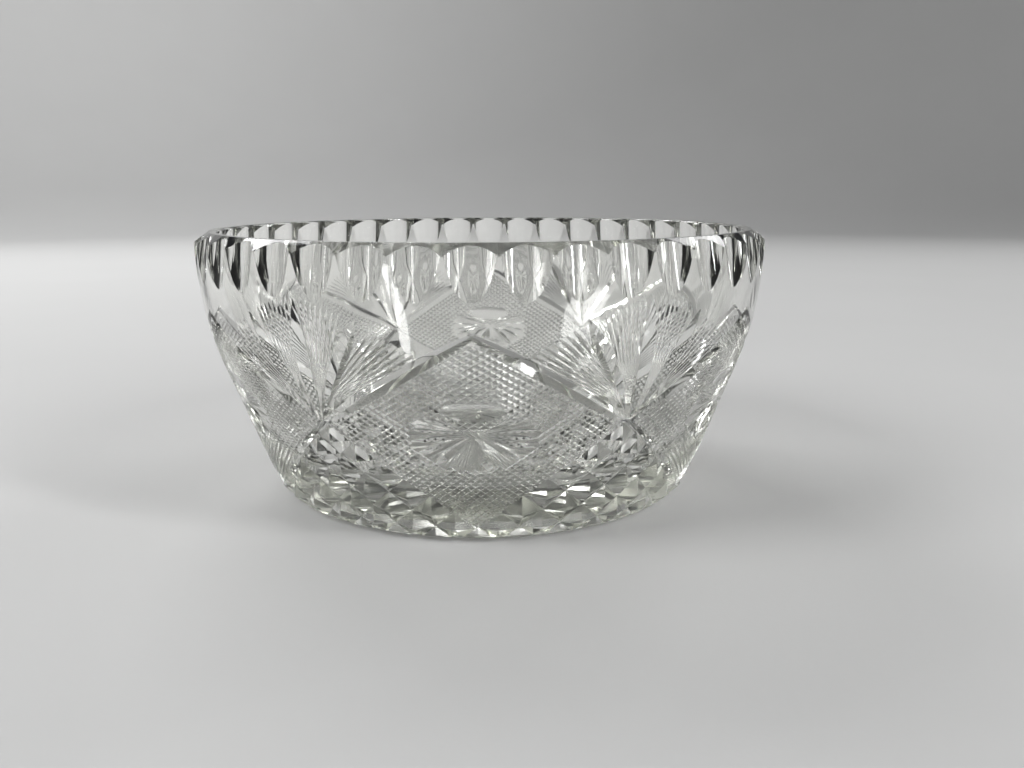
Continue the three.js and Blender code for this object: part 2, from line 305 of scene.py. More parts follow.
def points_out(piece):
    edit(piece)
    bpy.ops.mesh.normals_make_consistent(inside=False)
    leave_edit()


def place_points(piece, points):
    """Puts the mesh's points, in their order, at the given places."""
    piece.data.vertices.foreach_set("co", [value for point in points for value in point])
    piece.data.update()


def new_grid(name, columns, rows):
    """A sheet of columns by rows faces, with its points counted along each row."""
    deselect_all()
    bpy.ops.mesh.primitive_grid_add(x_subdivisions=columns, y_subdivisions=rows, size=1)
    sheet = bpy.context.object
    sheet.name = name
    return sheet


def drop_faces(sheet, dropped):
    """Deletes the faces, given by number, and the points that only they had."""
    edit(sheet, "DESELECT")
    bpy.ops.mesh.select_mode(type="FACE")
    leave_edit()
    for number in dropped:
        sheet.data.polygons[number].select = True
    bpy.ops.object.mode_set(mode="EDIT")
    bpy.ops.mesh.delete(type="FACE")
    bpy.ops.mesh.select_mode(type="VERT")
    bpy.ops.mesh.select_all(action="DESELECT")
    bpy.ops.mesh.select_loose()
    bpy.ops.mesh.delete(type="VERT")
    leave_edit()


def close_outwards(sheet, lifts):
    """Extrudes a sheet out of the wall and so closes it. Each point comes with how far it moves."""
    edit(sheet)
    bpy.ops.mesh.select_mode(type="FACE")
    bpy.ops.mesh.select_all(action="SELECT")
    bpy.ops.mesh.extrude_region_move()
    leave_edit()
    points = sheet.data.vertices
    for low, high in moved_copies(sheet):
        points[high].co = points[low].co + lifts[low]
    sheet.data.update()
    points_out(sheet)


def moved_copies(sheet):
    """Pairs of a point and the copy that an extrusion made of it in the same place."""
    places = {}
    for point in sheet.data.vertices:
        key = tuple(round(value, 7) for value in point.co)
        places.setdefault(key, []).append(point.index)
    pairs = []
    for indices in places.values():
        if len(indices) != 2:
            raise RuntimeError(f"{sheet.name}: two points of the sheet share a place")
        pairs.append((min(indices), max(indices)))
    return pairs


def copied(piece, turn=0, mirror=False):
    """A copy with its own mesh, mirrored across the front or turned round the axis."""
    twin = piece.copy()
    twin.data = piece.data.copy()
    bpy.context.scene.collection.objects.link(twin)
    turned = Matrix.Rotation(math.radians(turn), 4, "Z")
    twin.data.transform(turned @ Matrix.Scale(-1, 4, (1, 0, 0)) if mirror else turned)
    if mirror:
        twin.data.flip_normals()
    return twin


def joined(pieces):
    deselect_all()
    for piece in pieces:
        piece.select_set(True)
    bpy.context.view_layer.objects.active = pieces[0]
    bpy.ops.object.join()
    return bpy.context.object


def mark_silk(piece, silk):
    """Notes on each face how silky the wheel leaves it, from 0, bright, to 1."""
    note = piece.data.attributes.new("silk", "FLOAT", "FACE")
    note.data.foreach_set("value", [silk] * len(piece.data.polygons))


def cut_away(bowl, cutter, silk=0.0):
    """Cuts a cutter's shape out of the bowl and takes the cutter away."""
    mark_silk(cutter, silk)
    before = len(bowl.data.polygons)
    make_active(bowl)
    bpy.ops.object.modifier_add(type="BOOLEAN")
    modifier = bowl.modifiers[-1]
    modifier.operation = "DIFFERENCE"
    modifier.solver = "MANIFOLD"
    modifier.object = cutter
    bpy.ops.object.modifier_apply(modifier=modifier.name)
    name = cutter.name
    mesh = cutter.data
    bpy.data.objects.remove(cutter)
    bpy.data.meshes.remove(mesh)
    if len(bowl.data.polygons) == before:
        raise RuntimeError(f"{name} cut nothing")


def cut_all_round(bowl, cutter, offset=0, silk=0.0):
    """Cuts one cutter in every sector."""
    twins = [copied(cutter, offset + i * 2 * HALF_SECTOR) for i in range(1, SECTORS)]
    if offset:
        cutter.data.transform(Matrix.Rotation(math.radians(offset), 4, "Z"))
    cut_away(bowl, joined([cutter] + twins), silk)


def the_bowl():
    bowl = bpy.data.objects.get(BOWL)
    if bowl is None:
        raise RuntimeError("Spin the blank first")
    return bowl


# Cutters


LIFT = 0.3 * MM
CLOSE = 1.2 * MM


def bar(name, stops, left, right=None):
    """A V-shaped bar for one wheel cut. Each stop has a point, the direction out and the depth."""
    right = left if right is None else right
    rows = len(stops) - 1
    sheet = new_grid(name, 2, rows)
    points = []
    lifts = []
    for i, (point, out, depth) in enumerate(stops):
        along = stops[min(i + 1, rows)][0] - stops[max(i - 1, 0)][0]
        side = out.cross(along).normalized()
        spread = depth + LIFT
        points.append(point + out * LIFT - side * spread * math.tan(right))
        points.append(point - out * depth)
        points.append(point + out * LIFT + side * spread * math.tan(left))
        lifts += [out * CLOSE, out * (CLOSE + spread), out * CLOSE]
    place_points(sheet, points)
    close_outwards(sheet, lifts)
    return sheet


def sunk_sheet(name, columns, rows, place, dropped=()):
    """A sheet cutter. place gives a point, the direction out and the depth for a column and row."""
    sheet = new_grid(name, columns, rows)
    stops = [place(column, row) for row in range(rows + 1) for column in range(columns + 1)]
    place_points(sheet, [point - out * depth for point, out, depth in stops])
    outs = [out for _, out, _ in stops]
    if dropped:
        kept = kept_points(columns, rows, dropped)
        drop_faces(sheet, dropped)
        outs = [outs[number] for number in kept]
    return sheet, outs


def kept_points(columns, rows, dropped):
    """Numbers of the points that the faces which stay still need."""
    gone = set(dropped)
    kept = set()
    for row in range(rows):
        for column in range(columns):
            if row * columns + column not in gone:
                first = row * (columns + 1) + column
                kept.update((first, first + 1, first + columns + 1, first + columns + 2))
    return sorted(kept)


def along_wall(wall, start, end, steps, depth):
    """Stops of a straight cut between two places."""
    stops = []
    for i in range(steps + 1):
        share = i / steps
        turn = start[0] + (end[0] - start[0]) * share
        height = start[1] + (end[1] - start[1]) * share
        stops.append((*on_wall(wall, turn, height), depth(share)))
    return stops


def lens(deepest, deepest_at, tip):
    """Depth of a cut that is deepest at a share of its length and runs out at both ends."""

    def depth(share):
        if share < deepest_at:
            away = (deepest_at - share) / deepest_at
        else:
            away = (share - deepest_at) / (1 - deepest_at)
        return tip + (deepest - tip) * (1 - away * away)

    return depth


def mixed(a, b, share):
    return a + (b - a) * share


# The bowl and its cuts


TURN_STEPS = 6 * FLUTES
OUTER_STEPS = (9, 12, 12)
INNER_STEPS = (14, 8, 14)
LIP_STEPS = 6
SAME_PLACE = 2e-6
WHEEL_SIDES = 120
UPPER_BORDER_STEPS = 24
LOWER_BORDER_STEPS = 20
BORDER_TIP = 0.45 * MM
LOWER_BORDER_EXTRA = 0.2 * MM
LATTICE_ROWS = 3
POINT_SINK = 0.12 * MM


class DISH_OT_blank(bpy.types.Operator):
    """Spin the thick blank of the bowl, with its rim bevel, rest ring and hollow foot"""

    bl_idname = "dish.blank"
    bl_label = "Spin the Blank"

    def execute(self, context):
        size = blank_sizes()
        outer, inner = outer_wall(), inner_wall()
        hollow = size.foot_radius - size.rest_ring
        inside = size.rim_radius - size.rim_wall
        lip_centre = (inside + size.lip, size.height - size.lip)
        lip = arc(lip_centre, size.lip, math.pi / 2, math.pi, LIP_STEPS)
        top = size.height - size.bevel_height
        profile = [(0, size.recess), (hollow / 2, size.recess)]
        profile += [(hollow - size.recess_slope, size.recess), (hollow, 0)]
        profile += outer.points(*OUTER_STEPS)
        profile += [(size.rim_radius, top), (size.rim_radius - size.bevel_width, size.height)]
        profile += lip
        profile += inner.points(*INNER_STEPS)[::-1]
        profile += [(inside / 3, size.floor), (0, size.floor)]
        bowl = spun(BOWL, profile, TURN_STEPS)
        points_out(bowl)
        mark_silk(bowl, 0)
        return {"FINISHED"}


def spun(name, profile, steps):
    """A shape turned from an outline of (radius, height) pairs."""
    deselect_all()
    bpy.ops.mesh.primitive_circle_add(vertices=len(profile), radius=1)
    piece = bpy.context.object
    piece.name = name
    place_points(piece, [(0, -radius, height) for radius, height in profile])
    drop_edge(piece, 0, len(profile) - 1)
    edit(piece)
    bpy.ops.mesh.spin(steps=steps, angle=2 * math.pi, center=(0, 0, 0), axis=(0, 0, 1))
    bpy.ops.mesh.select_all(action="SELECT")
    bpy.ops.mesh.remove_doubles(threshold=SAME_PLACE)
    leave_edit()
    return piece


def drop_edge(piece, first, last):
    """Deletes the edge between two points."""
    edit(piece, "DESELECT")
    bpy.ops.mesh.select_mode(type="EDGE")
    leave_edit()
    for line in piece.data.edges:
        line.select = set(line.vertices) == {first, last}
    bpy.ops.object.mode_set(mode="EDIT")
    bpy.ops.mesh.delete(type="EDGE")
    leave_edit()


class DISH_OT_flutes(bpy.types.Operator):
    """Scoop the flutes round the rim with a round-edged wheel that leans out"""

    bl_idname = "dish.flutes"
    bl_label = "Scoop the Flutes"

    def execute(self, context):
        size, pattern = blank_sizes(), pattern_sizes()
        bowl = the_bowl()
        half_width = math.pi * size.rim_radius / FLUTES
        radius = (half_width**2 + pattern.flute_depth**2) / (2 * pattern.flute_depth)
        foot = size.height - size.bevel_height
        tip_radius, _ = outer_wall().at(foot - pattern.flute_length)
        lean = math.atan2(
            tip_radius - size.rim_radius + pattern.flute_depth, pattern.flute_length
        )
        deselect_all()
        bpy.ops.mesh.primitive_cylinder_add(
            vertices=WHEEL_SIDES, radius=radius, depth=3 * pattern.flute_length,
            end_fill_type="NGON",
        )
        wheel = context.object
        wheel.name = "Flute wheel"
        shift = Matrix.Translation((0, pattern.flute_depth - size.rim_radius, foot))
        wheel.data.transform(
            shift @ Matrix.Rotation(-lean, 4, "X") @ Matrix.Translation((0, -radius, 0))
        )
        step = 360 / FLUTES
        for first in (0, 1):
            twins = [copied(wheel, (first + 2 * i) * step) for i in range(FLUTES // 2)]
            cut_away(bowl, joined(twins))
        bpy.data.objects.remove(wheel)
        return {"FINISHED"}


class DISH_OT_borders(bpy.types.Operator):
    """Cut the mitres that frame the diamonds"""

    bl_idname = "dish.borders"
    bl_label = "Frame the Diamonds"

    def execute(self, context):
        pattern = pattern_sizes()
        wall, bowl = outer_wall(), the_bowl()
        upper = upper_border(wall)
        cut_all_round(bowl, copied(upper, mirror=True))
        cut_all_round(bowl, upper)
        rows = 2 * LATTICE_ROWS
        depth = lattice_depth(wall) + LOWER_BORDER_EXTRA
        start = -pattern.overrun / lattice_spacing(wall)
        stops = []
        for i in range(LOWER_BORDER_STEPS + 1):
            row = mixed(start, rows + 1, i / LOWER_BORDER_STEPS)
            stops.append((*in_lattice(wall, 0, row), depth))
        lower = bar("Lower border", stops, pattern.lower_outer, pattern.lower_inner)
        cut_all_round(bowl, copied(lower, mirror=True))
        cut_all_round(bowl, lower)
        return {"FINISHED"}


def diamond_top():
    return blank_sizes().height - pattern_sizes().top_drop


def upper_border(wall):
    """The lens-shaped mitre along the right upper side of the front diamond."""
    pattern = pattern_sizes()
    top, side = (0, diamond_top()), (HALF_SECTOR, pattern.waist)
    span = (on_wall(wall, *top)[0] - on_wall(wall, *side)[0]).length
    over = pattern.overrun / span
    start = [mixed(top[k], side[k], -over) for k in (0, 1)]
    end = [mixed(top[k], side[k], 1 + over) for k in (0, 1)]
    depth = lens(pattern.border_depth, 0.5, BORDER_TIP)
    stops = along_wall(wall, start, end, UPPER_BORDER_STEPS, depth)
    return bar("Upper border", stops, pattern.border_angle)


def lattice_spacing(wall):
    """Distance between two grooves of the lattice."""
    pattern = pattern_sizes()
    rise = pattern.waist - pattern.foot
    half_width = math.radians(HALF_SECTOR) * wall.at(pattern.foot + rise / 2)[0]
    return half_width * rise / math.hypot(half_width, rise) / LATTICE_ROWS


def lattice_depth(wall):
    return lattice_spacing(wall) / 2 / math.tan(pattern_sizes().lattice_angle) + POINT_SINK


def in_lattice(wall, a, b):
    """A place counted in rows from the one diamond's side and from the other's."""
    pattern = pattern_sizes()
    turn = HALF_SECTOR * (1 + (a - b) / (2 * LATTICE_ROWS))
    share = 1 - (a + b) / (2 * LATTICE_ROWS)
    return on_wall(wall, turn, pattern.foot + (pattern.waist - pattern.foot) * share)


def poke_points(sheet, outs, place):
    """Pokes each face and puts its new point where place says. Points come in the faces' order."""
    before = len(sheet.data.vertices)
    edit(sheet)
    bpy.ops.mesh.select_mode(type="FACE")
    bpy.ops.mesh.select_all(action="SELECT")
    bpy.ops.mesh.poke()
    leave_edit()
    for number, (point, out, depth) in enumerate(place):
        sheet.data.vertices[before + number].co = point - out * depth
        outs.append(out)
    if len(sheet.data.vertices) != len(outs):
        raise RuntimeError(f"{sheet.name}: a face of the sheet got no point")
    sheet.data.update()


class DISH_OT_lattice(bpy.types.Operator):
    """Cut the crossing grooves that leave pointed pyramids between the diamonds"""

    bl_idname = "dish.lattice"
    bl_label = "Cut the Lattice"

    def execute(self, context):
        wall, bowl = outer_wall(), the_bowl()
        rows = 2 * LATTICE_ROWS
        depth = lattice_depth(wall)
        dropped = [b * rows + a for b in range(rows) for a in range(rows) if a + b > rows]
        kept = [(a, b) for b in range(rows) for a in range(rows) if a + b <= rows]
        sheet, outs = sunk_sheet(
            "Lattice", rows, rows, lambda a, b: (*in_lattice(wall, a, b), depth), dropped
        )
        points = [(*in_lattice(wall, a + 0.5, b + 0.5), POINT_SINK) for a, b in kept]
        poke_points(sheet, outs, points)
        close_outwards(sheet, [out * (depth + CLOSE) for out in outs])
        cut_in_turns(bowl, sheet)
        return {"FINISHED"}


def cut_in_turns(bowl, cutter):
    """Cuts every second sector and then the others, so that neighbours don't overlap."""
    step = 2 * HALF_SECTOR
    for first in (0, 1):
        twins = [copied(cutter, (first + 2 * i) * step) for i in range(SECTORS // 2)]
        cut_away(bowl, joined(twins))
    bpy.data.objects.remove(cutter)


# Fine hatching of the diamonds


MEDALLION_RISE = -1.3 * MM
MEDALLION_HALF_HEIGHT = 10 * MM
HATCHED_ABOVE = math.radians(24)
HATCH_INSET = 0.35
PLAIN_CORNER = 2


def in_diamond(wall, across, down):
    """A place in the front diamond, in shares of its two directions from the top corner."""
    pattern = pattern_sizes()
    top, foot = diamond_top(), pattern.foot
    turn = HALF_SECTOR * (across - down)
    both = across * down
    height = top + (pattern.waist - top) * (across + down - 2 * both) + (foot - top) * both
    return on_wall(wall, turn, height)


def in_medallion(wall, across, up):
    """A place in millimetres across and up the wall from the star's centre."""
    height = pattern_sizes().star_height + up * MM * math.cos(wall.tilt)
    return on_wall(wall, math.degrees(across * MM / wall.at(height)[0]), height)


def in_the_star(wall, point):
    """Whether a point is in the part of the oval medallion that the star fills."""
    pattern = pattern_sizes()
    across = math.atan2(point.x, -point.y) * math.hypot(point.x, point.y)
    up = (point.z - pattern.star_height) / math.cos(wall.tilt)
    above_middle = up - MEDALLION_RISE
    reach = math.hypot(across / pattern.star_half_width, above_middle / MEDALLION_HALF_HEIGHT)
    over_the_rays = up > 0 and abs(across) < up / math.tan(HATCHED_ABOVE)
    return reach < 1 and not over_the_rays


class DISH_OT_hatching(bpy.types.Operator):
    """Cross-hatch each diamond, up to its borders and round its medallion"""

    bl_idname = "dish.hatching"
    bl_label = "Hatch the Diamonds"

    def execute(self, context):
        pattern = pattern_sizes()
        wall, bowl = outer_wall(), the_bowl()
        rows = pattern.hatch_rows
        inset = HATCH_INSET / rows

        def share(row):
            return mixed(inset, 1 - inset, row / rows)

        def groove(column, row):
            return (*in_diamond(wall, share(column), share(row)), pattern.hatch_depth)

        cells = [(column, row) for row in range(rows) for column in range(rows)]
        middles = [in_diamond(wall, share(c + 0.5), share(r + 0.5)) for c, r in cells]
        dropped = [
            n for n, (point, _) in enumerate(middles)
            if in_the_star(wall, point) or sum(cells[n]) < PLAIN_CORNER
        ]
        gone = set(dropped)
        sheet, outs = sunk_sheet("Hatching", rows, rows, groove, dropped)
        rise = pattern.hatch_depth * (1 / pattern.hatch_width - 1)
        tips = [(*middle, -rise) for n, middle in enumerate(middles) if n not in gone]
        poke_points(sheet, outs, tips)
        close_outwards(sheet, [out * (pattern.hatch_depth + CLOSE) for out in outs])
        cut_all_round(bowl, sheet, silk=1)
        return {"FINISHED"}


# Fans


CENTRE_LEAF = {"turn": 0, "drop": 13, "width": 5.2, "start": 2}
SIDE_LEAF = {"turn": 11.5, "drop": 17, "width": 4.2, "start": 4.5}
LEAF_DEEPEST_AT = 0.6
LEAF_TIP = 0.1 * MM
LEAF_STEPS = 20
FIELD_LINES = 8
FIELD_STEPS = 9
FIELD_DEEPEST_AT = 0.6
FINE_TIP = 0.08 * MM
FLAT_TOP = 0.15 * MM
FINE_SILK = 0.5


class DISH_OT_fans(bpy.types.Operator):
    """Cut the fine lines and the three leaves of the fan on each side corner"""

    bl_idname = "dish.fans"
    bl_label = "Cut the Fans"

    def execute(self, context):
        wall, bowl = outer_wall(), the_bowl()
        for field in (inner_field(wall), outer_field(wall)):
            cut_all_round(bowl, copied(field, mirror=True), HALF_SECTOR, silk=FINE_SILK)
            cut_all_round(bowl, field, HALF_SECTOR, silk=FINE_SILK)
        centre = leaf(wall, **CENTRE_LEAF)
        side = leaf(wall, **SIDE_LEAF)
        for cutter in (centre, copied(side, mirror=True), side):
            cut_all_round(bowl, cutter, HALF_SECTOR)
        return {"FINISHED"}


def leaf(wall, turn, drop, width, start):
    """One long leaf. Its sizes are in millimetres, and the fan stands on the front here."""
    pattern = pattern_sizes()
    tip = (turn, blank_sizes().height - drop * MM)
    share = start * MM / (tip[1] - pattern.waist)
    foot = (tip[0] * share, mixed(pattern.waist, tip[1], share))
    deepest = width * MM / 2 / math.tan(pattern.leaf_angle)
    depth = lens(deepest, LEAF_DEEPEST_AT, LEAF_TIP)
    return bar("Leaf", along_wall(wall, foot, tip, LEAF_STEPS, depth), pattern.leaf_angle)


def pleated_field(name, wall, low, high):
    """Fine lines side by side, from places along a lower edge to places along an upper edge."""
    pattern = pattern_sizes()

    def place(column, row):
        side = column / (2 * FIELD_LINES)
        along = row / FIELD_STEPS
        a, b = low(side), high(side)
        turn, height = mixed(a[0], b[0], along), mixed(a[1], b[1], along)
        groove = column % 2
        run_out = lens(pattern.fine_depth, FIELD_DEEPEST_AT, FINE_TIP)(along)
        return (*on_wall(wall, turn, height), run_out if groove else -FLAT_TOP)

    sheet, outs = sunk_sheet(name, 2 * FIELD_LINES, FIELD_STEPS, place)
    close_outwards(sheet, [out * (pattern.fine_depth + CLOSE) for out in outs])
    return sheet


def inner_field(wall):
    """Eight lines between the centre leaf and a side leaf."""
    waist = pattern_sizes().waist

    def low(side):
        return mixed(0.9, 5.2, side), waist + mixed(17.6, 15.2, side) * MM

    def high(side):
        return mixed(1.1, 9.2, side), waist + mixed(32, 28.6, side**1.5) * MM

    return pleated_field("Inner fine lines", wall, low, high)


def outer_field(wall):
    """Eight lines between a side leaf and the border of the diamond."""
    waist = pattern_sizes().waist

    def low(side):
        return mixed(4.6, 7.4, side), waist + mixed(11, 8.6, side) * MM

    def high(side):
        return mixed(13.2, 22.2, side), waist + mixed(25.6, 18.6, side) * MM

    return pleated_field("Outer fine lines", wall, low, high)


# Medallions


RAYS = (
    (160, 1.4), (176, 1.2), (189, 1.6), (203, 2), (223, 2.8), (288, 4),
    (325, 2.4), (343, 1.9), (353, 1.4), (3, 1.2), (20, 1.6),
)
FINE_LINES = ((227, 283, 12), (293, 322, 6), (206, 219, 2), (6, 17, 2), (163, 173, 2))
RAY_START = 0.12
RAY_DEEPEST_AT = 0.66
RAY_STEPS = 16
STAR_LINE_START = 0.2
STAR_LINE_DEEPEST_AT = 0.7
STAR_LINE_STEPS = 8
STAR_LINE_TOP = 0.01 * MM
OLIVE_RISE = 6
OLIVE_HALF_WIDTH = 10.5 * MM
OLIVE_HALF_HEIGHT = 2.9 * MM
OLIVE_DIP = 0.5


class DISH_OT_medallions(bpy.types.Operator):
    """Cut the star of rays and fine lines in each diamond, and the olive over it"""

    bl_idname = "dish.medallions"
    bl_label = "Cut the Medallions"

    def execute(self, context):
        wall, bowl = outer_wall(), the_bowl()
        fields = [star_field(wall, *field) for field in FINE_LINES]
        cut_all_round(bowl, joined(fields), silk=FINE_SILK)
        for direction, width in RAYS:
            cut_all_round(bowl, star_ray(wall, direction, width))
        cut_all_round(bowl, olive(wall))
        return {"FINISHED"}


def in_star(wall, direction, share):
    """A place in a direction from the star's centre, at a share of the way to the oval edge."""
    pattern = pattern_sizes()
    across, up = math.cos(math.radians(direction)), math.sin(math.radians(direction))
    half_width, half_height = pattern.star_half_width / MM, pattern.star_half_height / MM
    reach = share / math.hypot(across / half_width, up / half_height)
    return in_medallion(wall, reach * across, reach * up)


def star_ray(wall, direction, width):
    """One spear-shaped ray of the star."""
    pattern = pattern_sizes()
    depth = lens(width * MM / 2 / math.tan(pattern.ray_angle), RAY_DEEPEST_AT, FINE_TIP)
    stops = []
    for i in range(RAY_STEPS + 1):
        along = i / RAY_STEPS
        stops.append((*in_star(wall, direction, mixed(RAY_START, 1, along)), depth(along)))
    return bar("Ray", stops, pattern.ray_angle)


def star_field(wall, start, end, lines):
    """Fine lines between two rays, from near the star's centre to the oval edge."""
    pattern = pattern_sizes()

    def place(column, row):
        along = row / STAR_LINE_STEPS
        share = mixed(STAR_LINE_START, 1, along)
        point, out = in_star(wall, mixed(start, end, column / (2 * lines)), share)
        run_out = lens(pattern.fine_depth * share, STAR_LINE_DEEPEST_AT, FINE_TIP)(along)
        return point, out, run_out if column % 2 else STAR_LINE_TOP

    sheet, outs = sunk_sheet("Star lines", 2 * lines, STAR_LINE_STEPS, place)
    close_outwards(sheet, [out * (pattern.fine_depth + CLOSE) for out in outs])
    return sheet


def olive(wall):
    """A flat ellipsoid that dips into the wall over the star's centre."""
    pattern = pattern_sizes()
    point, out = in_medallion(wall, 0, OLIVE_RISE)
    spread = 1 / math.sqrt(1 - (1 - OLIVE_DIP) ** 2)
    deselect_all()
    bpy.ops.mesh.primitive_uv_sphere_add(segments=64, ring_count=32, radius=1)
    ball = bpy.context.object
    ball.name = "Olive"
    half_thickness = pattern.olive_depth / OLIVE_DIP
    half = Vector((OLIVE_HALF_WIDTH * spread, half_thickness, OLIVE_HALF_HEIGHT * spread))
    centre = point + out * (half.y - pattern.olive_depth)
    lean = Matrix.Rotation(math.asin(-out.z), 4, "X")
    side = Matrix.Rotation(math.pi / 2, 4, "Y")
    ball.data.transform(Matrix.Translation(centre) @ lean @ Matrix.Diagonal((*half, 1)) @ side)
    return ball


FOOT_RAYS = 24
FOOT_RAY_ANGLE = math.radians(62)
FOOT_RAY_HALF_WIDTH = 1.8 * MM
FOOT_RAY_START = 4 * MM
FOOT_RAY_DEEPEST_AT = 2 / 3
FOOT_RAY_TIP = 0.02 * MM
FOOT_RAY_STEPS = 20


class DISH_OT_foot_star(bpy.types.Operator):
    """Cut the star of rays under the foot"""

    bl_idname = "dish.foot_star"
    bl_label = "Cut the Foot Star"

    def execute(self, context):
        size, pattern = blank_sizes(), pattern_sizes()
        bowl = the_bowl()
        deepest = FOOT_RAY_HALF_WIDTH / math.tan(FOOT_RAY_ANGLE)
        depth = lens(deepest, FOOT_RAY_DEEPEST_AT, FOOT_RAY_TIP)
        down = Vector((0, 0, -1))
        stops = []
        for i in range(FOOT_RAY_STEPS + 1):
            along = i / FOOT_RAY_STEPS
            reach = mixed(FOOT_RAY_START, pattern.foot_star, along)
            stops.append((Vector((0, -reach, size.recess)), down, depth(along)))
        ray = bar("Foot ray", stops, FOOT_RAY_ANGLE)
        twins = [copied(ray, 360 / FOOT_RAYS * i) for i in range(FOOT_RAYS)]
        bpy.data.objects.remove(ray)
        for first in (0, 1):
            cut_away(bowl, joined(twins[first::2]))
        return {"FINISHED"}


# Glass


SMOOTH_BELOW = math.radians(9)
FOOT_WEAR_HEIGHT = 0.6 * MM
FOOT_WEAR = 0.28
FLOOR_WEAR_HEIGHT = 3 * MM
FLOOR_WEAR_FADE = 12
FLOOR_WEAR = 0.12
GROUND_HEIGHT = 4 * MM
GROUND_MARGIN = 1 * MM
CLOUDING = 0.012


class Value:
    """One output of a node, so that a mask can be written as a sum."""

    def __init__(self, kit, socket):
        self.kit = kit
        self.socket = socket

    def _with(self, operation, first, second):
        return self.kit.add("Math", {"operation": operation}, {0: first, 1: second})

    def __add__(self, other):
        return self._with("ADD", self, other)

    def __radd__(self, other):
        return self._with("ADD", other, self)

    def __sub__(self, other):
        return self._with("SUBTRACT", self, other)

    def __rsub__(self, other):
        return self._with("SUBTRACT", other, self)

    def __mul__(self, other):
        return self._with("MULTIPLY", self, other)

    def __rmul__(self, other):
        return self._with("MULTIPLY", other, self)


class Finish:
    """A material's nodes, added one at a time."""

    def __init__(self, name):
        self.material = bpy.data.materials.new(name)
        self.material.use_nodes = True
        self.tree = self.material.node_tree
        self.tree.nodes.clear()

    def add(self, kind, settings=None, sockets=None, output=0):
        """Adds a node: its type, then its settings, then the values or links of its sockets."""
        node = self.tree.nodes.new("ShaderNode" + kind)
        for name, value in (settings or {}).items():
            if name == "stops":
                elements = node.color_ramp.elements
                while len(elements) < len(value):
                    elements.new(0.5)
                for element, (position, grey) in zip(elements, value):
                    element.position = position
                    element.color = (grey, grey, grey, 1)
            else:
                setattr(node, name, value)
        for key, value in (sockets or {}).items():
            socket = node.inputs[key]
            if isinstance(value, Value):
                self.tree.links.new(value.socket, socket)
            else:
                socket.default_value = value
        return Value(self, node.outputs[output]) if node.outputs else None

    def ramp(self, factor, stops):
        """Grey values between stops of a ramp."""
        return self.add("ValToRGB", {"stops": stops}, {0: factor}, "Color")

    def mix(self, factor, first, second):
        """A colour between two colours."""
        return self.add("Mix", {"data_type": "RGBA"}, {0: factor, 6: first, 7: second}, 2)


def separate(finish, vector, part):
    return finish.add("SeparateXYZ", None, {0: vector}, part)


def clear_glass():
    """Clear glass with a slow wave in its surface, a ground and worn foot and a scratched floor."""
    look = bpy.context.scene.dish_glass
    size = blank_sizes()
    finish = Finish("Clear cut glass")
    place = finish.add("TexCoord", output="Object")
    height = separate(finish, place, 2)
    across = separate(finish, place, 0)
    back = separate(finish, place, 1)
    radius = finish.add("Math", {"operation": "SQRT"}, {0: across * across + back * back})
    wave = finish.add(
        "TexNoise", None, {"Vector": place, "Scale": 70, "Detail": 1, "Roughness": 0.4}
    )
    cloud = finish.add("TexNoise", None, {"Vector": place, "Scale": 35, "Detail": 3})
    grit = finish.add("TexNoise", None, {"Vector": place, "Scale": 2600, "Detail": 2})
    scuffs = finish.add(
        "TexVoronoi", {"feature": "DISTANCE_TO_EDGE"}, {"Vector": place, "Scale": 240}
    )
    resting = finish.ramp(height * (1 / FOOT_WEAR_HEIGHT), [(0, 1), (1, 0)])
    on_floor = finish.ramp(
        (height - size.floor) * (1 / FLOOR_WEAR_HEIGHT) + radius * FLOOR_WEAR_FADE,
        [(0.1, 1), (0.8, 0)],
    )
    scratched = finish.ramp(scuffs, [(0, 1), (0.02, 0)])
    below = finish.add("Math", {"operation": "LESS_THAN"}, {0: height, 1: GROUND_HEIGHT})
    inside = finish.add(
        "Math", {"operation": "LESS_THAN"}, {0: radius, 1: size.foot_radius - GROUND_MARGIN}
    )
    wear = look.wear
    silk = finish.add("Attribute", {"attribute_name": "silk"}, None, "Fac")
    roughness = look.polish + cloud * CLOUDING + silk * look.silk
    roughness = roughness + below * inside * look.ground
    roughness = roughness + resting * (FOOT_WEAR * wear) * (0.6 + grit * 0.8)
    roughness = roughness + on_floor * scratched * (FLOOR_WEAR * wear)
    colour = finish.mix(cloud, (0.995, 0.995, 0.985, 1), (0.98, 0.98, 0.965, 1))
    edges = finish.add("Bevel", {"samples": 4}, {"Radius": look.edge_round})
    ripple = finish.add(
        "Bump", None,
        {"Strength": 0.35, "Distance": 0.4 * MM, "Height": wave, "Normal": edges},
    )
    grain = finish.add(
        "Bump", None,
        {"Strength": 0.25, "Distance": 0.02 * MM, "Height": grit * resting, "Normal": ripple},
    )
    surface = finish.add(
        "BsdfPrincipled",
        {"distribution": "GGX"},
        {
            "Base Color": colour, "Roughness": roughness, "IOR": look.index,
            "Transmission Weight": 1, "Normal": grain,
        },
    )
    volume = finish.add(
        "VolumeAbsorption", None, {"Color": (*look.tint, 1), "Density": look.tint_density}
    )
    finish.add("OutputMaterial", None, {"Surface": surface, "Volume": volume})
    return finish.material


class DISH_OT_polish(bpy.types.Operator):
    """Polish the cut bowl and give it its glass"""

    bl_idname = "dish.polish"
    bl_label = "Polish the Bowl"

    def execute(self, context):
        bowl = the_bowl()
        make_active(bowl)
        bpy.ops.object.shade_smooth_by_angle(angle=SMOOTH_BELOW)
        bowl.data.materials.clear()
        bowl.data.materials.append(clear_glass())
        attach(bowl, "root")
        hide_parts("bowl")
        return {"FINISHED"}


# Studio


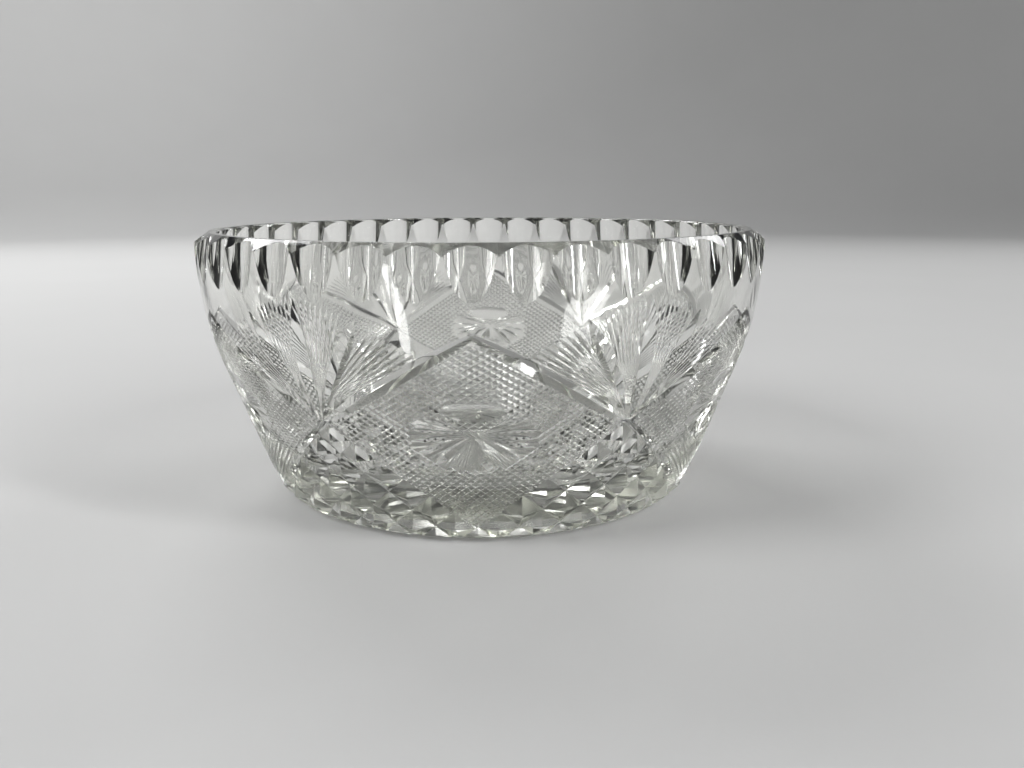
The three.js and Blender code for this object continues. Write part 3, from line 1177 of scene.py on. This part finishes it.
TABLE = -0.1 * MM
FLOOR_REACH = 1.5
CURVE_RADIUS = 0.6
CURVE_STEPS = 24
WALL_TOP = 0.75
SWEEP_TURN_STEPS = 96
AIR_COLOUR = (0.6, 0.62, 0.65, 1)
AIR_STRENGTH = 0.12
AIM = (0, 0, 0.03)
# Each lamp's name, place, width and height in metres, and power in watts.
LAMPS = (
    ("Left softbox", (-0.75, -0.35, 0.7), (0.4, 0.55), 5.6),
    ("Right strip", (0.75, -0.5, 0.55), (0.1, 0.6), 4.6),
    ("Back left softbox", (-0.5, 0.9, 0.95), (0.7, 0.5), 7),
    ("Back right softbox", (0.6, 0.85, 0.85), (0.35, 0.4), 2),
    ("Edge strip", (-1.2, 0.85, 0.55), (0.08, 0.9), 2.6),
    ("Edge strip", (1.2, 0.85, 0.55), (0.08, 0.9), 2.6),
)
# Each backdrop lamp's turn round the dish and power.
BACKDROP_LAMPS = ((30, 8.5), (90, 5), (180, 4), (270, 2.5))
BACKDROP_LAMP_SIZE = (0.9, 0.25)
# Chosen among cameras that fit the photograph about equally well. Tilt and roll are in degrees.
CAMERA_PLACE = (0.00883, -0.2756, 0.0887)
CAMERA_TILT = 77.53
CAMERA_ROLL = -0.23
CAMERA_LENS = 31.64
CAMERA_SENSOR = 36
CAMERA_NEAREST = 0.01


def studio_paint():
    """Matt pale paint with a faint mottle. Its underside is clear, so the foot can be seen."""
    look = bpy.context.scene.dish_studio
    finish = Finish("Pale studio paint")
    place = finish.add("TexCoord", output="Object")
    mottle = finish.add("TexNoise", None, {"Vector": place, "Scale": 9, "Detail": 4})
    fleck = finish.add("TexNoise", None, {"Vector": place, "Scale": 900, "Detail": 2})
    pale = (*look.floor_colour, 1)
    deeper = (*(part * 0.96 for part in look.floor_colour), 1)
    colour = finish.mix(mottle, pale, deeper)
    bump = finish.add("Bump", None, {"Strength": 0.1, "Distance": 0.0002, "Height": fleck})
    surface = finish.add(
        "BsdfPrincipled", None, {"Base Color": colour, "Roughness": 0.85, "Normal": bump}
    )
    clear = finish.add("BsdfTransparent")
    underside = finish.add("NewGeometry", output="Backfacing")
    both = finish.add("MixShader", None, {0: underside, 1: surface, 2: clear})
    finish.add("OutputMaterial", None, {"Surface": both})
    return finish.material


class DISH_OT_studio(bpy.types.Operator):
    """Set up the pale sweep, the soft lamps and the camera"""

    bl_idname = "dish.studio"
    bl_label = "Set Up the Studio"

    def execute(self, context):
        self.sweep()
        self.lamps(context)
        self.world(context)
        self.camera(context)
        context.scene.view_settings.view_transform = "Standard"
        return {"FINISHED"}

    def sweep(self):
        """A floor that rises all round the dish in a wide curve."""
        profile = [(reach, TABLE) for reach in (0, 0.4, 0.8, 1.2)]
        curve_centre = (FLOOR_REACH, CURVE_RADIUS + TABLE)
        profile += arc(curve_centre, CURVE_RADIUS, -math.pi / 2, 0, CURVE_STEPS)
        profile.append((FLOOR_REACH + CURVE_RADIUS, WALL_TOP))
        floor = spun("studio_sweep", profile, SWEEP_TURN_STEPS)
        if floor.data.polygons[0].normal.z < 0:
            floor.data.flip_normals()
        make_active(floor)
        bpy.ops.object.shade_smooth()
        floor.data.materials.append(studio_paint())

    def lamps(self, context):
        power = context.scene.dish_studio.lamps
        for name, place, size, share in LAMPS:
            soft_lamp(name, place, AIM, size, share * power)
        for turn, share in BACKDROP_LAMPS:
            wall = Matrix.Rotation(math.radians(turn), 4, "Z")
            above, low = wall @ Vector((0, 1.3, 1.3)), wall @ Vector((0, 2.1, 0.3))
            soft_lamp("Backdrop lamp", above, low, BACKDROP_LAMP_SIZE, share * power)

    def world(self, context):
        world = bpy.data.worlds.new("Studio air")
        context.scene.world = world
        world.use_nodes = True
        back = world.node_tree.nodes["Background"]
        back.inputs["Color"].default_value = AIR_COLOUR
        back.inputs["Strength"].default_value = AIR_STRENGTH

    def camera(self, context):
        deselect_all()
        bpy.ops.object.camera_add()
        camera = context.object
        camera.name = "Camera"
        camera.data.lens = CAMERA_LENS
        camera.data.sensor_width = CAMERA_SENSOR
        camera.data.clip_start = CAMERA_NEAREST
        place = Matrix.Translation(CAMERA_PLACE)
        tilt = Matrix.Rotation(math.radians(CAMERA_TILT), 4, "X")
        roll = Matrix.Rotation(math.radians(CAMERA_ROLL), 4, "Z")
        camera.matrix_world = place @ tilt @ roll
        context.scene.camera = camera


def soft_lamp(name, place, target, size, power):
    """A rectangular area lamp turned towards a point, and itself left out of the picture."""
    deselect_all()
    bpy.ops.object.light_add(type="AREA", location=place)
    lamp = bpy.context.object
    lamp.name = name
    lamp.data.shape = "RECTANGLE"
    lamp.data.size, lamp.data.size_y = size
    lamp.data.energy = power
    lamp.visible_camera = False
    lamp.rotation_euler = (Vector(target) - Vector(place)).to_track_quat("-Z", "Y").to_euler()


# Sidebar and order of work


class DISH_PT_sidebar(bpy.types.Panel):
    """Lists the steps in their order"""

    bl_label = "Candy Dish"
    bl_idname = "DISH_PT_sidebar"
    bl_space_type = "VIEW_3D"
    bl_region_type = "UI"
    bl_category = "Candy Dish"

    def draw(self, context):
        for group in (context.scene.dish_blank, context.scene.dish_pattern,
                      context.scene.dish_glass, context.scene.dish_studio):
            box = self.layout.box()
            for name in group.bl_rna.properties.keys():
                if name not in ("rna_type", "name"):
                    box.prop(group, name)
        for step in STEPS:
            self.layout.operator(step.bl_idname)


GROUPS = {
    "dish_blank": BlankSizes,
    "dish_pattern": PatternSizes,
    "dish_glass": GlassFinish,
    "dish_studio": StudioLook,
}
STEPS = (
    DISH_OT_blank, DISH_OT_flutes, DISH_OT_borders, DISH_OT_lattice, DISH_OT_hatching,
    DISH_OT_fans, DISH_OT_medallions, DISH_OT_foot_star, DISH_OT_polish, DISH_OT_studio,
)


def register():
    for kind in (*GROUPS.values(), *STEPS, DISH_PT_sidebar):
        bpy.utils.register_class(kind)
    for name, group in GROUPS.items():
        setattr(bpy.types.Scene, name, bpy.props.PointerProperty(type=group))


def unregister():
    for name in GROUPS:
        delattr(bpy.types.Scene, name)
    for kind in (*GROUPS.values(), *STEPS, DISH_PT_sidebar):
        bpy.utils.unregister_class(kind)


def main():
    register()
    for step in STEPS:
        family, name = step.bl_idname.split(".")
        getattr(getattr(bpy.ops, family), name)()


if __name__ == "__main__":
    main()
